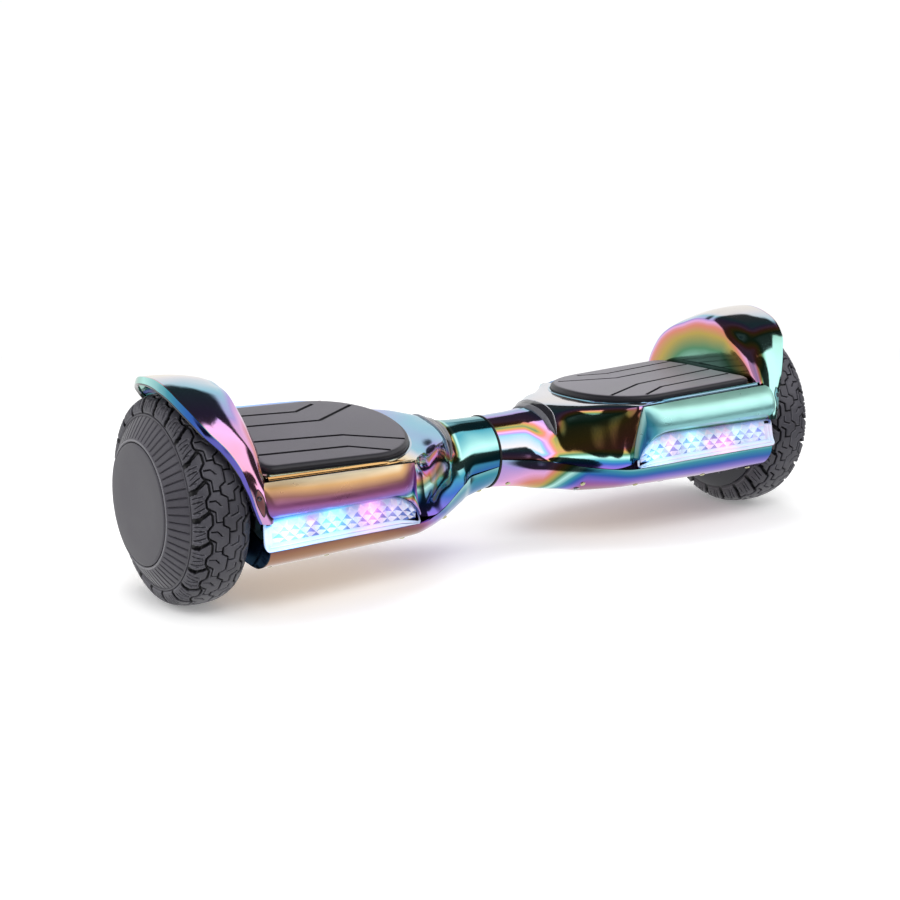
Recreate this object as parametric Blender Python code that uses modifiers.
"""Self balancing two-wheel board: two half bodies joined by a central pivot, each with a hub-motor wheel.

Frame: +X along the wheel axles to the right wheel, +Y to the rear, +Z up, metres. The origin is on the
ground, in the middle of the overall size; the axle line runs AXLE_Y behind it. The right half stands
level; the left half is turned about the axle line by TWIST, nose down, as the halves rest unloaded.

Sizes are in mm. Both halves are described as the right half, with z from the ground and y from the
axle line; side = -1 mirrors a piece in X for the left half.
"""
import math

import bmesh
import bpy
import numpy as np
from mathutils import Matrix, Vector

# ---------------------------------------------------------------- driving dimensions
MM = 0.001                   # metres in a mm
TYRE_R = 85.0
AXLE_Z = TYRE_R              # the axle and pivot are one tyre radius up
AXLE_Y = 2.452               # axle line behind the middle of the overall length
TWIST = math.radians(10.9)   # left half nose down against the right half
NECK_R, NECK_Z = 31.5, 84.0  # outside radius and centre height of the neck tubes
WALL = 3.0                   # casing wall
DECK_WALL = 5.6              # casing wall where it is level, under the foot pad
AXLE_R = 8.0
AXLE_BORE_R = AXLE_R + 0.5
BEARING_R = 14.0             # outside radius of the wheel bearings
SHAFT_R = 12.5               # pivot shaft
BUSH_R = 15.0                # pivot bush
BORE_GAP = 0.4               # between a pivot boss and what it holds
SEG = 24                     # facets of a large round part
SHARP_ANGLE = math.radians(38)

for old in list(bpy.data.objects):
    bpy.data.objects.remove(old)
for old in list(bpy.data.collections):
    bpy.data.collections.remove(old)

BOARD = bpy.data.collections.new("self_balancing_board")
CUTTERS = bpy.data.collections.new("cutters")
bpy.context.scene.collection.children.link(BOARD)
bpy.context.scene.collection.children.link(CUTTERS)


# ---------------------------------------------------------------- materials
def material(name, rgb, rough, metal=0.0, alpha=1.0):
    mat = bpy.data.materials.new(name)
    mat.use_nodes = True
    inputs = mat.node_tree.nodes["Principled BSDF"].inputs
    inputs["Base Color"].default_value = (*rgb, 1.0)
    inputs["Roughness"].default_value = rough
    inputs["Metallic"].default_value = metal
    inputs["Alpha"].default_value = alpha
    return mat


IRIDESCENT = material("iridescent_plastic", rgb=(0.55, 0.45, 0.62), rough=0.12, metal=0.9)
PAD_RUBBER = material("pad_rubber", rgb=(0.16, 0.155, 0.18), rough=0.6)
TYRE_RUBBER = material("tyre_rubber", rgb=(0.05, 0.05, 0.06), rough=0.75)
BLACK = material("black_plastic", rgb=(0.09, 0.09, 0.105), rough=0.5)
GLOSS_TRIM = material("gloss_trim", rgb=(0.05, 0.05, 0.06), rough=0.15)
CLEAR = material("clear_lens", rgb=(0.82, 0.88, 1.0), rough=0.05, alpha=0.5)
ALUMINIUM = material("cast_aluminium", rgb=(0.62, 0.63, 0.65), rough=0.45, metal=1.0)
STEEL = material("steel", rgb=(0.5, 0.5, 0.52), rough=0.3, metal=1.0)
COPPER = material("stator_copper", rgb=(0.55, 0.27, 0.12), rough=0.4, metal=0.6)
MAGNET = material("magnet", rgb=(0.3, 0.3, 0.32), rough=0.35, metal=0.9)
CIRCUIT = material("circuit_board", rgb=(0.03, 0.2, 0.09), rough=0.5)
LED_WHITE = material("led_board", rgb=(0.85, 0.88, 0.92), rough=0.5)
BATTERY_WRAP = material("battery_wrap", rgb=(0.06, 0.18, 0.42), rough=0.4)
CABLE = material("cable", rgb=(0.04, 0.04, 0.045), rough=0.55)
SEAL = material("seal_rubber", rgb=(0.01, 0.01, 0.012), rough=0.7)
BRONZE = material("bearing_bronze", rgb=(0.55, 0.4, 0.2), rough=0.35, metal=0.9)


# ---------------------------------------------------------------- curves
def clamp(value, low, high):
    return min(max(value, low), high)


def pchip(xs, ys, x):
    """Monotone cubic through (xs, ys), at x; held at the end values outside them."""
    xs, ys = np.asarray(xs, float), np.asarray(ys, float)
    step = np.diff(xs)
    rise = np.diff(ys) / step
    slope = np.zeros(len(xs))
    for i in range(1, len(xs) - 1):
        if rise[i - 1] * rise[i] > 0:
            before, after = 2 * step[i] + step[i - 1], step[i] + 2 * step[i - 1]
            slope[i] = (before + after) / (before / rise[i - 1] + after / rise[i])
    slope[0], slope[-1] = rise[0], rise[-1]
    x = clamp(x, xs[0], xs[-1])
    i = int(min(np.searchsorted(xs, x, side="right") - 1, len(xs) - 2))
    t = (x - xs[i]) / step[i]
    return float(
        (2 * t**3 - 3 * t**2 + 1) * ys[i]
        + (t**3 - 2 * t**2 + t) * step[i] * slope[i]
        + (-2 * t**3 + 3 * t**2) * ys[i + 1]
        + (t**3 - t**2) * step[i] * slope[i + 1]
    )


def sample(rows, key):
    """The later columns of a table, each interpolated at a value of the first column."""
    keys, *columns = zip(*rows)
    return [pchip(keys, column, key) for column in columns]


def station(table, x):
    """Control points (y, z) at x, from a table of (x, control points)."""
    xs = [row[0] for row in table]
    tracks = zip(*(row[1] for row in table))
    return [tuple(pchip(xs, column, x) for column in zip(*track)) for track in tracks]


def catmull(points, count):
    """count points, even in parameter, on a Catmull-Rom curve through points."""
    pts = np.asarray(points, float)
    pts = np.vstack([2 * pts[0] - pts[1], pts, 2 * pts[-1] - pts[-2]])
    curve = []
    for t in np.linspace(0, len(points) - 1, count):
        i = int(clamp(math.floor(t), 0, len(pts) - 4))
        u = t - i
        before, start, end, after = pts[i:i + 4]
        curve.append(0.5 * (
            (2 * start) + (end - before) * u
            + (2 * before - 5 * start + 4 * end - after) * u**2
            + (3 * start - before - 3 * end + after) * u**3
        ))
    return np.array(curve)


def resample(polyline, count):
    """count points evenly along a polyline."""
    pts = np.asarray(polyline, float)
    along = np.r_[0, np.cumsum(np.linalg.norm(np.diff(pts, axis=0), axis=1))]
    places = np.linspace(0, along[-1], count)
    return np.stack([np.interp(places, along, pts[:, k]) for k in range(pts.shape[1])], 1)


def neck_arc(radius, angle0, angle1, count):
    """(y, z) points of an arc about the neck's centre, between two angles in degrees."""
    angles = [math.radians(angle) for angle in np.linspace(angle0, angle1, count)]
    return [(radius * math.cos(a), NECK_Z + radius * math.sin(a)) for a in angles]


# ---------------------------------------------------------------- mesh builders
def local(point, side=1):
    """A mm point in metres from the axle line."""
    x, y, z = point
    return (x * side * MM, y * MM, (z - AXLE_Z) * MM)


def close_bmesh(bm, mesh):
    """Write bm to mesh with its normals pointing out of the solid."""
    bmesh.ops.recalc_face_normals(bm, faces=bm.faces)
    if bm.calc_volume(signed=True) < 0:
        bmesh.ops.reverse_faces(bm, faces=bm.faces)
    bm.to_mesh(mesh)
    bm.free()


def shade_smooth(mesh):
    mesh.shade_smooth()
    mesh.set_sharp_from_angle(angle=SHARP_ANGLE)


def mesh_object(name, mesh, mat):
    if mat is not None:
        mesh.materials.append(mat)
    return bpy.data.objects.new(name, mesh)


def solid(name, verts, faces, side, mat, smooth=True):
    """Object from mm points and faces."""
    mesh = bpy.data.meshes.new(name)
    faces = [tuple(reversed(face)) if side < 0 else tuple(face) for face in faces]
    mesh.from_pydata([local(vert, side) for vert in verts], [], faces)
    bm = bmesh.new()
    bm.from_mesh(mesh)
    close_bmesh(bm, mesh)
    mesh.validate()
    if smooth:
        shade_smooth(mesh)
    return mesh_object(name, mesh, mat)


def shell_loft(name, xs, outer, inner, side, mat):
    """A casing wall: outer and inner open profiles (y, z) at each x, closed along edges and ends."""
    rows, cols = len(xs), len(outer[0])
    verts = [(x, y, z) for x, profile in zip(xs, outer) for y, z in profile]
    verts += [(x, y, z) for x, profile in zip(xs, inner) for y, z in profile]

    def out(i, j):
        return i * cols + j

    def inn(i, j):
        return (rows + i) * cols + j

    faces = []
    last = cols - 1
    for i in range(rows - 1):
        for j in range(last):
            faces.append((out(i, j), out(i + 1, j), out(i + 1, j + 1), out(i, j + 1)))
            faces.append((inn(i, j), inn(i, j + 1), inn(i + 1, j + 1), inn(i + 1, j)))
        faces.append((out(i, 0), inn(i, 0), inn(i + 1, 0), out(i + 1, 0)))
        faces.append((out(i, last), out(i + 1, last), inn(i + 1, last), inn(i, last)))
    end = rows - 1
    for j in range(last):
        faces.append((out(0, j), out(0, j + 1), inn(0, j + 1), inn(0, j)))
        faces.append((out(end, j), inn(end, j), inn(end, j + 1), out(end, j + 1)))
    return solid(name, verts, faces, side, mat)


def loft(name, sections, side, mat=None, smooth=True):
    """A closed solid through same-count closed loops of (x, y, z) points, capped at both ends."""
    count = len(sections[0])
    verts = [tuple(point) for section in sections for point in section]
    total = len(verts)
    faces = [tuple(range(count)), tuple(range(total - 1, total - count - 1, -1))]
    for i in range(len(sections) - 1):
        for j in range(count):
            this, following = i * count + j, i * count + (j + 1) % count
            faces.append((this, following, following + count, this + count))
    return solid(name, verts, faces, side, mat, smooth)


def prism(name, outline, x0, x1, side, mat=None):
    """A (y, z) outline extruded from x0 to x1."""
    n = len(outline)
    verts = [(x, y, z) for x in (x0, x1) for y, z in outline]
    faces = [tuple(range(n)), tuple(range(2 * n - 1, n - 1, -1))]
    faces += [(i, (i + 1) % n, n + (i + 1) % n, n + i) for i in range(n)]
    return solid(name, verts, faces, side, mat, smooth=False)


def box(name, low, high, side, mat=None, bevel=0.0):
    """A box between two corners, with an optional Bevel."""
    mesh = bpy.data.meshes.new(name)
    bm = bmesh.new()
    bmesh.ops.create_cube(bm, size=1.0)
    low, high = Vector(low), Vector(high)
    for vert in bm.verts:
        corner = [low[k] + (vert.co[k] + 0.5) * (high[k] - low[k]) for k in range(3)]
        vert.co = local(corner, side)
    close_bmesh(bm, mesh)
    obj = mesh_object(name, mesh, mat)
    if bevel:
        edges = obj.modifiers.new("edges", "BEVEL")
        edges.width = bevel * MM
        edges.segments = 1
        edges.limit_method = "ANGLE"
    return obj


def tube(x0, x1, outer_r, inner_r):
    """(x, r) profile of a plain ring, for turned()."""
    return [(x0, outer_r), (x1, outer_r), (x1, inner_r), (x0, inner_r)]


def turned(name, profile, side, mat=None, seg=SEG, axis_z=AXLE_Z):
    """A closed (x, r) profile taken round an X axis at height axis_z by the Screw modifier.
    Profiles are wound anticlockwise in (x, r), so that Screw gives normals pointing out."""
    pts = [(x * side, r) for x, r in profile]
    pairs = zip(pts, pts[1:] + pts[:1])
    if sum(x0 * r1 - x1 * r0 for (x0, r0), (x1, r1) in pairs) < 0:
        pts.reverse()
    count = len(pts)
    on_axis = [abs(r) < 1e-9 for _, r in pts]
    if any(on_axis):  # leave the profile open along the axis
        k = next(i for i in range(count) if on_axis[i] and on_axis[(i + 1) % count])
        pts = pts[k + 1:] + pts[:k + 1]
        edges = [(i, i + 1) for i in range(count - 1)]
    else:
        edges = [(i, (i + 1) % count) for i in range(count)]
    mesh = bpy.data.meshes.new(name)
    mesh.from_pydata([(x * MM, 0.0, r * MM) for x, r in pts], edges, [])
    obj = mesh_object(name, mesh, mat)
    turn = obj.modifiers.new("turn", "SCREW")
    turn.axis = "X"
    turn.steps = turn.render_steps = seg
    turn.angle = 2 * math.pi
    turn.use_merge_vertices = True
    turn.merge_threshold = 0.00001
    turn.use_smooth_shade = True
    turn.use_normal_calculate = False
    obj.location = (0.0, 0.0, (axis_z - AXLE_Z) * MM)
    return obj


def rod(name, start, end, radius, side, seg, mat=None):
    """A cylinder between two points."""
    start, end = Vector(start), Vector(end)
    for point in (start, end):
        point.x *= side
        point.z -= AXLE_Z
    mesh = bpy.data.meshes.new(name)
    bm = bmesh.new()
    bmesh.ops.create_cone(bm, cap_ends=True, segments=seg, radius1=radius * MM,
                          radius2=radius * MM, depth=(end - start).length * MM)
    turn = (end - start).to_track_quat("Z", "Y").to_matrix().to_4x4()
    bm.transform(Matrix.Translation((start + end) / 2 * MM) @ turn)
    close_bmesh(bm, mesh)
    shade_smooth(mesh)
    return mesh_object(name, mesh, mat)


def axle_rod(name, x0, x1, radius, side, mat=None):
    """A cylinder on the axle line."""
    return rod(name, (x0, 0, AXLE_Z), (x1, 0, AXLE_Z), radius, side, SEG, mat)


def add(obj, parent):
    BOARD.objects.link(obj)
    obj.parent = parent
    return obj


def combine(target, tool, parent, operation):
    """Boolean on target with a helper object that is hidden from renders."""
    CUTTERS.objects.link(tool)
    tool.parent = parent
    tool.hide_render = True
    tool.display_type = "WIRE"
    mod = target.modifiers.new(operation.lower() + "_" + tool.name, "BOOLEAN")
    mod.operation = operation
    mod.solver = "EXACT"
    mod.object = tool


def cut(target, tool, parent):
    combine(target, tool, parent, "DIFFERENCE")


def join(target, tool, parent):
    combine(target, tool, parent, "UNION")


def empty(name, parent=None, location=(0, 0, 0), rotation=(0, 0, 0)):
    obj = add(bpy.data.objects.new(name, None), parent)
    obj.location = location
    obj.rotation_euler = rotation
    obj.empty_display_size = 0.02
    return obj


# ---------------------------------------------------------------- casing sections
# Upper casing: x of the station, then |y|, z of its control points from the middle of the deck
# down to the lower edge.
UPPER = [
    (1.2, neck_arc(NECK_R, 90, -2, 8)),
    (28, neck_arc(NECK_R + 0.5, 90, -8, 8)),
    (46, [(0, 117.2), (12, 115.4), (22, 110.0), (29, 101.5),
          (33, 93.5), (36, 86.5), (40, 81.0), (45, 77.3)]),
    (57, [(0, 120.5), (14, 119.5), (25.5, 115), (32, 107),
          (35.5, 98.5), (39, 89), (44, 81), (52, 75.2)]),
    (64, [(0, 121.4), (17, 120.9), (29, 118.0), (35.5, 112),
          (39.5, 103), (42.5, 91), (47.5, 81), (57, 73.6)]),
    (78, [(0, 122.0), (21, 121.9), (37, 120.6), (44.5, 116),
          (48, 106), (50.5, 93), (55, 81), (66, 71.4)]),
    (92, [(0, 122.3), (26, 122.3), (47, 121.8), (55, 118),
          (58.2, 108), (60.5, 94), (64.5, 81), (73, 70.0)]),
    (107, [(0, 122.8), (32, 122.8), (60, 122.5), (67, 119.5),
           (69, 110), (70.2, 96), (72, 82), (74.5, 71.6)]),
    (118, [(0, 123.2), (36, 123.2), (69, 123.0), (74.2, 121.0),
           (73.8, 112), (72.8, 98), (72.4, 86), (72.6, 77.0)]),
    (150, [(0, 124.2), (38, 124.2), (73.0, 124.0), (75.6, 122.3),
           (73.6, 113), (72.0, 99), (71.8, 88), (71.8, 80.0)]),
    (200, [(0, 125.8), (40, 125.8), (74.0, 125.6), (76.6, 123.9),
           (74.4, 114), (72.8, 100), (72.6, 89), (72.6, 81.0)]),
    (252.0, [(0, 127.3), (40, 127.3), (75.0, 127.1), (77.6, 125.4),
             (75.2, 115), (73.6, 101), (73.4, 90), (73.4, 81.5)]),
]
# Lower casing: x, then |y|, z from its upper edge down to the middle of the underside.
LOWER = [
    (1.2, neck_arc(NECK_R, -3, -90, 7)),
    (28, [(33.0, 78.6), (33.4, 70.5), (31.2, 62.8), (26.3, 56.7), (18.8, 52.8), (9.8, 51.2), (0, 50.8)]),
    (42, [(42.0, 77.2), (42.4, 69.0), (39.6, 60.8), (33.8, 54.6), (25.2, 50.4), (13.4, 48.6), (0, 48.0)]),
    (60, [(54.2, 73.8), (54.0, 66.0), (51.0, 59.0), (45.0, 53.4), (36.5, 49.3), (20, 46.8), (0, 46.0)]),
    (75, [(64.4, 71.2), (63.6, 64.1), (59.4, 57.4), (52.4, 51.8), (42.5, 47.2), (25, 44.6), (0, 43.8)]),
    (90, [(73.2, 69.6), (72.0, 63.4), (67.4, 57.0), (60.4, 51.8), (50.5, 47.8), (29, 45.4), (0, 44.6)]),
    (106, [(80.0, 68.6), (78.6, 63.1), (74.2, 57.0), (67.4, 52.2), (57.5, 48.5), (35, 46.4), (0, 45.6)]),
    (122, [(82.4, 68.9), (81.2, 63.5), (77.0, 57.6), (70.2, 52.6), (60.5, 48.9), (38, 46.8), (0, 46.0)]),
    (160, [(85.7, 70.2), (84.5, 64.6), (80.4, 58.3), (73.4, 53.0), (63.5, 49.1), (41, 47.0), (0, 46.2)]),
    (205, [(89.5, 71.6), (88.3, 65.7), (84.0, 58.9), (77.0, 53.4), (67, 49.3), (42.5, 47.1), (0, 46.3)]),
    (254.0, [(93.4, 72.8), (92.2, 66.6), (87.6, 59.6), (80.4, 54.0), (70, 49.6), (44, 47.2), (0, 46.4)]),
]
# x of the mesh sections, and profile points: per half profile above, per whole profile below
UPPER_XS = [1.2, 26, 40, 50, 57, 65, 78, 94, 107, 118, 150, 251.0]
LOWER_XS = [1.2, 26, 42, 58, 74, 90, 108, 114, 121, 131, 146, 254.0]
UPPER_POINTS, LOWER_POINTS = 10, 17
DECK_X = 80                                 # the thicker deck wall starts beyond this x
LENS_TIP_X, LENS_BEND_X, LENS_END_X = 110.0, 144.0, 252.0
LENS_LOW_Z, LENS_RISE = 68.9, 27.3          # foot and height of the light's rounded inner end
BAR_X0, BAR_X1 = 119.0, 258.0


def top_profile(x, count):
    """Front lower edge, over the deck, to the rear lower edge: 2 * count - 1 points."""
    half = catmull(station(UPPER, x), count)
    return np.array([(-y, z) for y, z in half[::-1]] + [(y, z) for y, z in half[1:]])


def lens_top(x):
    """Height of the light's upper edge: rounded inner end, then straight under the fascia bar."""
    if x >= LENS_BEND_X:
        return LENS_LOW_Z + LENS_RISE + 0.6 * (x - LENS_BEND_X) / (LENS_END_X - LENS_BEND_X)
    s = clamp((LENS_BEND_X - x) / (LENS_BEND_X - LENS_TIP_X), 0.0, 1.0)
    return LENS_LOW_Z + LENS_RISE * math.sqrt(max(1 - s * s, 0.0))


def flank_y(x, z):
    """|y| of the outer face between the lower casing's edge and the fascia bar, at height z."""
    seam_y, seam_z = station(LOWER, x)[0]
    lean = 7.4 * clamp((x - 104) / 40.0, 0.2, 1.0)
    return seam_y - lean * clamp((z - seam_z) / (96.5 - seam_z), 0.0, 1.3)


def bottom_profile(x, count, panel=True):
    """Front edge, round the underside, to the rear edge; the rear panel climbs on to the bar."""
    half = catmull(station(LOWER, x), 25)
    pts = [(-y, z) for y, z in half] + [(y, z) for y, z in half[::-1][1:]]
    edge_z = half[0][1]
    panel_z = lens_top(x) - 0.4
    if panel and x > LENS_TIP_X and panel_z > edge_z + 1.0:
        for u in np.linspace(0, 1, 7)[1:]:
            z = edge_z + (panel_z - edge_z) * u
            pts.append((flank_y(x, z), z))
    return resample(pts, count)


def inner_face(profile, level_wall=WALL):
    """The inside of a wall along a (y, z) profile; level_wall thick where the wall is a level roof."""
    pts = np.asarray(profile, float)
    tangent = np.gradient(pts, axis=0)
    normal = np.stack([tangent[:, 1], -tangent[:, 0]], 1)
    normal /= np.maximum(np.linalg.norm(normal, axis=1, keepdims=True), 1e-9)
    if ((np.array([0.0, 86.0]) - pts) * normal).sum() < 0:
        normal = -normal
    wall = WALL + (level_wall - WALL) * np.clip((-normal[:, 1] - 0.85) / 0.1, 0, 1)
    inside = pts + normal * wall[:, None]
    inside[0, 1], inside[-1, 1] = pts[0, 1], pts[-1, 1]
    return inside


# ---------------------------------------------------------------- foot pad solids
PAD_X0, PAD_X1, PAD_HALF = 92.9, 249.0, 68.8   # inner end, outer end, half width
PAD_END, PAD_POWER = 55.3, 2.1                 # length and superellipse power of the inner end
PAD_END_POINTS = 13
# (inset, height over the deck plane) of the stacked outlines
PAD_LAYERS = [(0.4, -0.7), (0.0, 0.6), (0.0, 2.4), (2.4, 4.6), (4.8, 5.4)]
RECESS_LAYERS = [(-0.6, -2.6), (-0.6, 12.0)]
PEGS = [(x, y) for x in (128.0, 214.0) for y in (-34.0, 34.0)]
PEG_R, PEG_HOLE_R = 3.6, 4.6


def deck_z(x):
    return 119.5 + 0.0325 * x


def pad_outline(inset):
    """Pad outline in (x, y): a rounded inner end and a straight, corner-cut outer end."""
    half = PAD_HALF - inset
    end_x = PAD_X1 - inset
    power = 2 / PAD_POWER
    pts = []
    for angle in np.linspace(-math.pi / 2, math.pi / 2, PAD_END_POINTS):
        cos, sin = math.cos(angle), math.sin(angle)
        pts.append((PAD_X0 + PAD_END - (PAD_END - inset) * abs(cos) ** power,
                    half * math.copysign(abs(sin) ** power, sin)))
    corner = [(end_x - 9, half), (end_x - 2.6, half - 2.6), (end_x, half - 9)]
    return pts + corner + [(x, -y) for x, y in corner[::-1]]


def pad_solid(name, side, layers, mat=None):
    sections = [[(x, y, deck_z(x) + height) for x, y in pad_outline(inset)] for inset, height in layers]
    return loft(name, sections, side, mat)


# ---------------------------------------------------------------- casing
def build_top_shell(side, tag, half):
    outer = [top_profile(x, UPPER_POINTS) for x in UPPER_XS]
    inner = [inner_face(p, DECK_WALL if x > DECK_X else WALL) for p, x in zip(outer, UPPER_XS)]
    top = add(shell_loft("top_shell_" + tag, UPPER_XS, outer, inner, side, IRIDESCENT), half)
    cut(top, pad_solid("pad_recess_" + tag, side, RECESS_LAYERS), half)
    for i, (x, y) in enumerate(PEGS):
        cut(top, rod(f"peg_hole_{tag}{i}", (x, y, 105), (x, y, 135), PEG_HOLE_R, side, 12), half)


def build_bottom_shell(side, tag, half):
    outer = [bottom_profile(x, LOWER_POINTS) for x in LOWER_XS]
    inner = [inner_face(p) for p in outer]
    bottom = add(shell_loft("bottom_shell_" + tag, LOWER_XS, outer, inner, side, IRIDESCENT), half)
    # wall across the outer end, up to z = 80
    end = [(y * 0.985, z) for y, z in bottom_profile(252.5, LOWER_POINTS)] + [(-75.5, 78.0)]
    end = [(y, min(z, 80.0)) for y, z in end if z < 80.5]
    join(bottom, prism("end_wall_" + tag, end, 250.6, 254.0, side), half)
    cut(bottom, box("fender_step_" + tag, (251.1, -120, 86), (262, 120, 140), side), half)
    cut(bottom, axle_rod("axle_opening_" + tag, 240, 260, 24, side), half)
    return bottom


# ---------------------------------------------------------------- fender and fascia bars
# Outer lip of the fender: degrees from the top, x, radius.
REAR_LIP = [(0, 309.0, 91.5), (20, 308.8, 92.5), (36, 303.0, 93.5), (46, 294.5, 93.8),
            (57, 282.0, 93.0), (70, 269.5, 91.5), (84, 261.0, 90.5)]
FRONT_LIP = [(0, 309.0, 91.5), (16, 306.5, 92.0), (36, 297, 92.5), (46, 287.0, 93.0),
             (57, 277.5, 92.5), (70, 268.5, 91.5), (84, 261.0, 90.5)]
# Largest radius of the fender: degrees from the top, radius.
CROWN = [(0, 104.5), (30, 105.0), (55, 102.5), (70, 98.5), (84, 94.5)]
FENDER_X, FENDER_WALL = 254.8, 3.4     # wheel side of the fender's disc, and its thickness
FENDER_BASE_R = 30.0
FENDER_END, FENDER_STEPS = 84.0, 16    # degrees from the top to either end; sections
# Deck crease along the bar (x, |y|, z), |y| of its bulge, and |y| of its back face.
BAR_CREASE = [(119, 75.6, 121.9), (150, 76.6, 123.2), (258, 78.6, 126.2)]
BAR_BULGE = [(119, 79.5), (135, 86.5), (160, 92.0), (205, 95.6), (258, 96.0)]
BAR_BACK = [(119, 76.2), (150, 77.2), (258, 79.0)]
BAR_SECTIONS = 9


def fender_section(degrees):
    """Closed (x, r) loop: up the inboard face, over the crown to the lip, back along the inside."""
    lip_x, lip_r = sample(REAR_LIP if degrees > 0 else FRONT_LIP, abs(degrees))
    crown, = sample(CROWN, abs(degrees))
    disc = FENDER_X
    width = lip_x - disc
    back = disc - FENDER_WALL
    outer = [
        (back, FENDER_BASE_R), (back, 78.0), (disc - 2.2, crown - 11.0),
        (disc + 1.6, crown - 4.2), (disc + 0.16 * width + 2.6, crown - 0.6),
        (disc + 0.52 * width, crown + 0.2), (disc + 0.8 * width, crown - 1.9),
        (lip_x - 0.6, max(lip_r + 5.4, crown - 7.0)), (lip_x, lip_r + 3.4), (lip_x - 0.4, lip_r),
    ]
    inner = [
        (lip_x - 3.2, lip_r), (lip_x - 3.4, max(lip_r + 3.0, crown - 9.4)),
        (disc + 0.74 * width, crown - 5.2), (disc + 0.5 * width, crown - 3.4),
        (disc + 0.16 * width + 3.4, crown - 4.2), (disc + 2.6, crown - 8.4),
        (disc, crown - 13.0), (disc, 78.0), (disc, FENDER_BASE_R),
    ]
    return outer + inner


def bar_section(x, end):
    """Fascia bar at x: deck crease, bulge, top edge of the light, and back inside.
    end is -1 at the front, 1 at the rear."""
    grow = math.sin(clamp((x - BAR_X0) / 34.0, 0.0, 1.0) * math.pi / 2) ** 0.8
    crease_y, crease_z = sample(BAR_CREASE, x)
    bulge_y, = sample(BAR_BULGE, x)
    back_y, = sample(BAR_BACK, x)
    low_z = max(lens_top(max(x, 128.0)) + 0.4, 84.0)
    low_y = max(flank_y(x, min(low_z, 97.0)), 78.6)
    pts = [
        (crease_y + 0.6, crease_z), (crease_y + 2.2, crease_z + 0.5),
        (crease_y + 0.55 * (bulge_y - crease_y), crease_z - 2.6 - 2.2 * grow),
        (bulge_y - 0.5, crease_z - 8.4), (bulge_y, crease_z - 11.5), (bulge_y - 1.2, crease_z - 15.0),
        (low_y + 0.7, low_z + 1.5), (low_y, low_z),
        (back_y + 0.6, low_z), (back_y + 0.4, low_z + 8), (back_y, crease_z - 6.0),
    ]
    return [(x, end * y, z) for y, z in pts]


def build_fender(side, tag, half):
    sections = []
    for degrees in np.linspace(-FENDER_END, FENDER_END, FENDER_STEPS):
        sin, cos = math.sin(math.radians(degrees)), math.cos(math.radians(degrees))
        sections.append([(x, r * sin, AXLE_Z + r * cos) for x, r in fender_section(degrees)])
    fender = add(loft("fender_" + tag, sections, side, IRIDESCENT), half)
    # sections crowd towards the inner end of the bar
    xs = [BAR_X0 + (BAR_X1 - BAR_X0) * u ** 1.25 for u in np.linspace(0, 1, BAR_SECTIONS)]
    for name, end in (("front_bar_", -1), ("rear_bar_", 1)):
        join(fender, loft(name + tag, [bar_section(x, end) for x in xs], side), half)
    return fender


def build_foot_pad(side, tag, half):
    pad = add(pad_solid("foot_pad_" + tag, side, PAD_LAYERS, PAD_RUBBER), half)
    for i, (x, y) in enumerate(PEGS):
        z = deck_z(x)
        join(pad, rod(f"peg_{tag}{i}", (x, y, z - 9.5), (x, y, z + 2), PEG_R, side, 10), half)


# ---------------------------------------------------------------- front light
LENS_T = 2.6                    # thickness of the clear cover, front to back
LED_GAP, LED_T = 1.1, 1.2       # LED strip behind the cover, and its thickness
LED_Z0, LED_Z1 = 74.6, 91.5
LED_XS = [132.0, 138.0, 144.0, 180.0, 215.0, 248.0]
LENS_XS = [112.0, 114.0, 118.0, 124.0, 132.0, 138.0, 144.0, 180.0, 215.0, LENS_END_X - 1.6]


def lens_section(x):
    """Light cover at x: its sloping front face, and a back face parallel to it."""
    low_z = station(LOWER, x)[0][1] + 0.45
    top_z = max(lens_top(x) - 0.9, low_z + 1.6)
    low_y, top_y = flank_y(x, low_z), flank_y(x, top_z)
    rise, lean = top_z - low_z, top_y - low_y
    return [(x, -low_y, low_z), (x, -(low_y + 0.1 * lean), low_z + 0.12 * rise),
            (x, -(low_y + 0.5 * lean), low_z + 0.5 * rise), (x, -top_y, top_z),
            (x, -(top_y - LENS_T), top_z), (x, -(low_y - LENS_T), low_z)]


def led_section(x):
    """LED strip at x, leaning with the cover."""
    low_y, top_y = (flank_y(x, z) - LENS_T - LED_GAP for z in (LED_Z0, LED_Z1))
    return [(x, -low_y, LED_Z0), (x, -top_y, LED_Z1),
            (x, -(top_y - LED_T), LED_Z1), (x, -(low_y - LED_T), LED_Z0)]


def build_light(side, tag, half):
    add(loft("led_lens_" + tag, [lens_section(x) for x in LENS_XS], side, CLEAR), half)
    strip = [led_section(x) for x in LED_XS]
    add(loft("led_board_" + tag, strip, side, LED_WHITE, smooth=False), half)


# ---------------------------------------------------------------- frame and axle
CHASSIS_X0, CHASSIS_X1 = 76, 236
CHASSIS_HALF = 34                                       # half width
CHASSIS_Z0, CHASSIS_Z1 = 54, 92
CHASSIS_END, CHASSIS_SIDE, CHASSIS_FLOOR = 6, 5, 5.5    # wall thicknesses
BOSS_R, BOSS_X0, BOSS_X1 = 19, 8, 77.5                  # pivot boss


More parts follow.
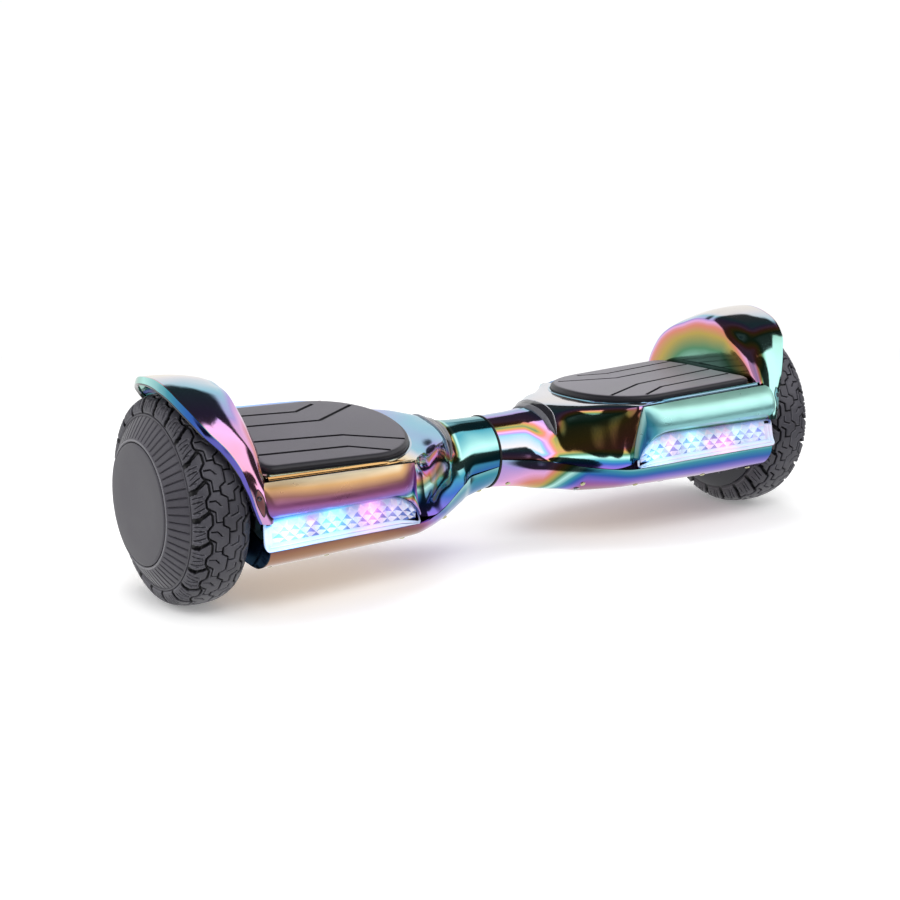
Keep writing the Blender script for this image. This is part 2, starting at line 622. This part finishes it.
def build_frame(side, tag, half):
    frame = add(box("chassis_" + tag, (CHASSIS_X0, -CHASSIS_HALF, CHASSIS_Z0),
                    (CHASSIS_X1, CHASSIS_HALF, CHASSIS_Z1), side, ALUMINIUM), half)
    bay_half = CHASSIS_HALF - CHASSIS_SIDE
    cut(frame, box("chassis_bay_" + tag,
                   (CHASSIS_X0 + CHASSIS_END, -bay_half, CHASSIS_Z0 + CHASSIS_FLOOR),
                   (CHASSIS_X1 - CHASSIS_END, bay_half, 130), side), half)
    # the right boss holds the shaft itself, the left one the bush
    bore = (SHAFT_R if side > 0 else BUSH_R) + BORE_GAP
    join(frame, turned("pivot_boss_" + tag, tube(BOSS_X0, BOSS_X1, BOSS_R, bore), side), half)
    cut(frame, axle_rod("axle_seat_" + tag, 225, 245, AXLE_BORE_R, side), half)
    add(axle_rod("axle_" + tag, 213, 308, AXLE_R, side, STEEL), half)
    block = add(box("axle_clamp_" + tag, (214, -18, 60), (229, 18, 99), side, ALUMINIUM, 1.5), half)
    cut(block, axle_rod("clamp_bore_" + tag, 210, 232, AXLE_BORE_R, side), half)


# ---------------------------------------------------------------- hub motor and wheel
TEETH = 12
# One stator tooth: degrees from its middle, radius.
TOOTH = [(-12.0, 50.0), (12.0, 50.0), (6.0, 44.5), (7.0, 30.0), (23.0, 30.0), (24.0, 44.5)]
BEARING_BORE_R = 8.6
# Parts that turn with the wheel: name, closed (x, r) profile, material, facets.
WHEEL_PARTS = [
    ("magnet_ring_", tube(266, 298, 57.4, 53), MAGNET, SEG),
    ("rim_", [(262.2, 66.8), (308.8, 66.8), (308.8, 14.6), (300.6, 14.6), (300.6, 20), (303, 20),
              (303, 57.8), (262.2, 57.8)], ALUMINIUM, SEG),
    ("bearing_outer_", tube(300.9, 307.6, BEARING_R, BEARING_BORE_R), STEEL, 16),
    ("bearing_inner_", tube(256.4, 262.4, BEARING_R, BEARING_BORE_R), STEEL, 16),
    ("motor_side_cover_", [(257.6, 66.5), (259.2, 68.4), (261.6, 68.4), (261.6, 14.6),
                           (257.6, 14.6)], BLACK, SEG),
    ("tyre_", [(262.2, 67.3), (261.8, 72.0), (263.6, 76.4), (266.6, 80.4), (272.0, 83.2),
               (279.0, 84.6), (286.5, TYRE_R), (294.0, 84.6), (301.0, 83.2), (306.4, 80.4),
               (309.5, 76.4), (311.2, 72.0), (310.8, 69.5), (309.2, 69.5), (309.0, 67.3)],
     TYRE_RUBBER, 30),
    ("wheel_cover_", [(309.4, 69.0), (312.2, 69.0), (313.4, 67.6), (321.4, 54.0), (321.4, 52.2),
                      (311.4, 52.2), (311.4, 55.0), (316.6, 55.0), (310.6, 65.0), (309.4, 65.0)],
     BLACK, SEG),
    ("hub_cap_", [(319.6, 0), (322.8, 0), (322.8, 50.2), (321.9, 51.6), (312.6, 51.6),
                  (312.6, 48.4), (319.6, 48.4)], BLACK, SEG),
]


def build_stator(side, tag, half):
    outline = []
    for i in range(TEETH):
        for degrees, radius in TOOTH:
            angle = math.radians(360 / TEETH * i) + math.radians(degrees)
            outline.append((radius * math.cos(angle), AXLE_Z + radius * math.sin(angle)))
    stator = add(prism("stator_" + tag, outline, 268, 296, side, COPPER), half)
    cut(stator, axle_rod("stator_bore_" + tag, 260, 300, AXLE_BORE_R, side), half)


def build_wheel(side, tag, wheel):
    for name, profile, mat, seg in WHEEL_PARTS:
        add(turned(name + tag, profile, side, mat, seg), wheel)


# ---------------------------------------------------------------- small pieces
TRIM_SECTIONS = 15
TRIM_POINTS = 57        # points per half of the casing profile the trim is laid on
# Motor cable, from the inner end of the axle towards the middle of the board.
CABLE_PATH = [(209.6, 0, 86), (206.5, -1, 91), (203, -4, 94.5), (190, -8, 97), (160, -10, 98)]
CABLE_R = 2.2


def build_sensor_board(side, tag, half):
    add(box("sensor_board_" + tag, (122, -42, 106.0), (222, 42, 107.6), side, CIRCUIT), half)


def build_crescent_trim(side, tag, half):
    """A crescent laid on the front flank of the upper casing, beside the neck."""
    middle = (TRIM_POINTS - 1) // 2
    sections = []
    for u in np.linspace(-1, 1, TRIM_SECTIONS):
        half_width = 6.2 * (1 - abs(u) ** 2.2) + 0.5
        middle_x = 52.5 + 2.5 * abs(u) ** 2
        x0, x1 = middle_x - half_width, middle_x + half_width
        k = int(round(middle + u * middle * 0.66))
        near, far = top_profile(x0, TRIM_POINTS)[k], top_profile(x1, TRIM_POINTS)[k]
        out = np.array([near[0], near[1] - NECK_Z])
        out /= np.linalg.norm(out)
        sections.append([(x0, *(near + out * 0.9)), (x1, *(far + out * 0.9)),
                         (x1, *(far + out * 2.0)), (x0, *(near + out * 2.3))])
    add(loft("crescent_trim_" + tag, sections, side, GLOSS_TRIM), half)


def build_motor_cable(side, tag, half):
    curve = bpy.data.curves.new("motor_cable_" + tag, "CURVE")
    curve.dimensions = "3D"
    spline = curve.splines.new("POLY")
    spline.points.add(len(CABLE_PATH) - 1)
    for knot, point in zip(spline.points, CABLE_PATH):
        knot.co = (*local(point, side), 1)
    curve.bevel_depth = CABLE_R * MM
    curve.bevel_resolution = 1
    curve.use_fill_caps = True
    curve.materials.append(CABLE)
    add(bpy.data.objects.new("motor_cable_" + tag, curve), half)


# ---------------------------------------------------------------- screws
# Closed (x, r) profile, head at x = 0.
SCREW = [(0, 0), (0.6, 2.2), (1.6, 3.4), (2.0, 3.4), (2.0, 1.55), (9.0, 1.55), (9.0, 0)]
SCREW_HOLE_R = 2.0
# Casing screws: x, y, and how far the head stands below the casing's outer face.
SHELL_SCREWS = [(70.0, -46.0, 3.4), (150.0, -62.0, 2.6), (236.0, -66.0, 2.6)]
FENDER_SCREW_X, FENDER_SCREW_R = 263.5, 103.6
FENDER_SCREW_ANGLE = math.radians(-66)      # from the top, to the front


def place_screw(name, host, head, direction, side, half):
    """A screw from head along direction, and its hole in host."""
    hole = rod(name + "_hole", head - direction * 4, head + direction * 14, SCREW_HOLE_R, side, 8)
    cut(host, hole, half)
    screw = add(turned(name, SCREW, 1, STEEL, 10), half)
    screw.location = local(head, side)
    screw.rotation_euler = Vector((1, 0, 0)).rotation_difference(direction).to_euler()


def build_screws(side, tag, half, bottom, fender):
    for i, (x, y, drop) in enumerate(SHELL_SCREWS, 1):
        profile = bottom_profile(x, 241, panel=False)
        # nearest in y, with the points above z = 70 ruled out
        nearest = profile[np.argmin(abs(profile[:, 0] - y) + (profile[:, 1] > 70) * 99)]
        head = Vector((x, y, float(nearest[1]) - drop))
        place_screw(f"shell_screw_{i}_{tag}", bottom, head, Vector((0, 0, 1)), side, half)
    out = Vector((0, math.sin(FENDER_SCREW_ANGLE), math.cos(FENDER_SCREW_ANGLE)))
    head = Vector((FENDER_SCREW_X, 0, AXLE_Z)) + out * FENDER_SCREW_R
    place_screw("fender_screw_" + tag, fender, head, -out, side, half)


# ---------------------------------------------------------------- pivot between the halves
def build_pivot(right, left):
    add(turned("pivot_shaft", tube(-66, 74, SHAFT_R, 7.0), 1, STEEL), right)
    add(turned("pivot_bush", tube(BOSS_X0, 60, BUSH_R, 13.1), -1, BRONZE), left)
    add(turned("circlip", tube(-62.8, -61.2, 14.7, 12.9), 1, STEEL), right)
    add(turned("seam_seal", tube(-0.9, 0.9, 32.0, 26.0), 1, SEAL, 32, axis_z=NECK_Z), right)


# ---------------------------------------------------------------- electrics
CAPACITORS = [(166, -12), (166, 10), (182, 0)]       # x, y
CAPACITOR_R = 5
COMPONENT_Z = 62.5                                   # components start just inside the board


def build_battery(right):
    add(box("battery_pack", (92, -27.5, 60), (206, 27.5, 90.5), 1, BATTERY_WRAP, 3.0), right)


def build_main_board(left):
    board = add(box("main_board", (92, -26, 61), (200, 26, 63), -1, CIRCUIT), left)
    join(board, box("heat_sink", (108, -18, COMPONENT_Z), (152, 18, 74), -1), left)
    for i, (x, y) in enumerate(CAPACITORS):
        can = rod(f"capacitor_{i}", (x, y, COMPONENT_Z), (x, y, 78), CAPACITOR_R, -1, 12)
        join(board, can, left)


# ---------------------------------------------------------------- rear panel of the right half
PANEL_OUT = Vector((0, 26.6, 7.4)).normalized()             # outward, square to the panel
PANEL_UP = Vector((0, -PANEL_OUT.z, PANEL_OUT.y))           # up the panel
BUTTON_X, BUTTON_Z, BUTTON_R, BUTTON_HOLE_R = 152, 77, 7.0, 7.5
PORT_X, PORT_Z, PORT_R, PORT_HOLE_R, PORT_BORE_R = 200, 79, 8.2, 8.6, 6.2
HINGE_UP, HINGE_OUT = 11.9, 1.9                             # cover hinge from the port's centre
COVER_R = 10.4
PARENT_ORIGIN = Vector((0, 0, AXLE_Z))                      # where a parent empty's origin lies


def on_panel(x, z):
    return Vector((x, flank_y(x, z), z))


def build_power_button(right, bottom):
    centre = on_panel(BUTTON_X, BUTTON_Z)
    reach = PANEL_OUT * 9
    cut(bottom, rod("button_hole", centre - reach, centre + reach, BUTTON_HOLE_R, 1, 20), right)
    axis = empty("power_button_axis", right, local(centre))
    add(rod("power_button", PARENT_ORIGIN - PANEL_OUT * 2.9, PARENT_ORIGIN + PANEL_OUT * 1.6,
            BUTTON_R, 1, 20, STEEL), axis)


def build_charge_port(right, bottom):
    centre = on_panel(PORT_X, PORT_Z)
    reach = PANEL_OUT * 9
    cut(bottom, rod("port_hole", centre - reach, centre + reach, PORT_HOLE_R, 1, 20), right)
    port = add(rod("charge_port", centre - PANEL_OUT * 3.4, centre + PANEL_OUT * 0.1,
                   PORT_R, 1, 20, BLACK), right)
    cut(port, rod("port_bore", centre - PANEL_OUT * 2.2, centre + PANEL_OUT * 5,
                  PORT_BORE_R, 1, 16), right)

    # the cover is built about its hinge
    hinge = centre + PANEL_UP * HINGE_UP + PANEL_OUT * HINGE_OUT
    flap = empty("port_cover_hinge", right, local(hinge))
    middle = PARENT_ORIGIN - PANEL_UP * HINGE_UP - PANEL_OUT * HINGE_OUT
    cover = add(rod("charge_port_cover", middle + PANEL_OUT * 0.8, middle + PANEL_OUT * 2.6,
                    COVER_R, 1, 20, SEAL), flap)
    across = Vector((5, 0, 0))
    join(cover, rod("cover_knuckle", PARENT_ORIGIN - across, PARENT_ORIGIN + across,
                    1.5, 1, 10), flap)
    join(cover, rod("cover_tongue", middle + PANEL_OUT * 1.7 + PANEL_UP * 6,
                    PARENT_ORIGIN - PANEL_UP * 0.2, 0.85, 1, 8), flap)


# ---------------------------------------------------------------- assembly
def build_half(side, tag, half):
    """Everything both halves have; returns the bottom shell."""
    wheel = empty("wheel_" + tag, half)
    build_top_shell(side, tag, half)
    bottom = build_bottom_shell(side, tag, half)
    fender = build_fender(side, tag, half)
    build_foot_pad(side, tag, half)
    build_light(side, tag, half)
    build_frame(side, tag, half)
    build_stator(side, tag, half)
    build_wheel(side, tag, wheel)
    build_sensor_board(side, tag, half)
    build_crescent_trim(side, tag, half)
    build_motor_cable(side, tag, half)
    build_screws(side, tag, half, bottom, fender)
    return bottom


root = empty("board", None, (0, AXLE_Y * MM, AXLE_Z * MM))
right_half = empty("right_half", root)
left_half = empty("left_half", root, rotation=(TWIST, 0, 0))
right_bottom = build_half(1, "R", right_half)
build_half(-1, "L", left_half)
build_pivot(right_half, left_half)
build_battery(right_half)
build_main_board(left_half)
build_power_button(right_half, right_bottom)
build_charge_port(right_half, right_bottom)
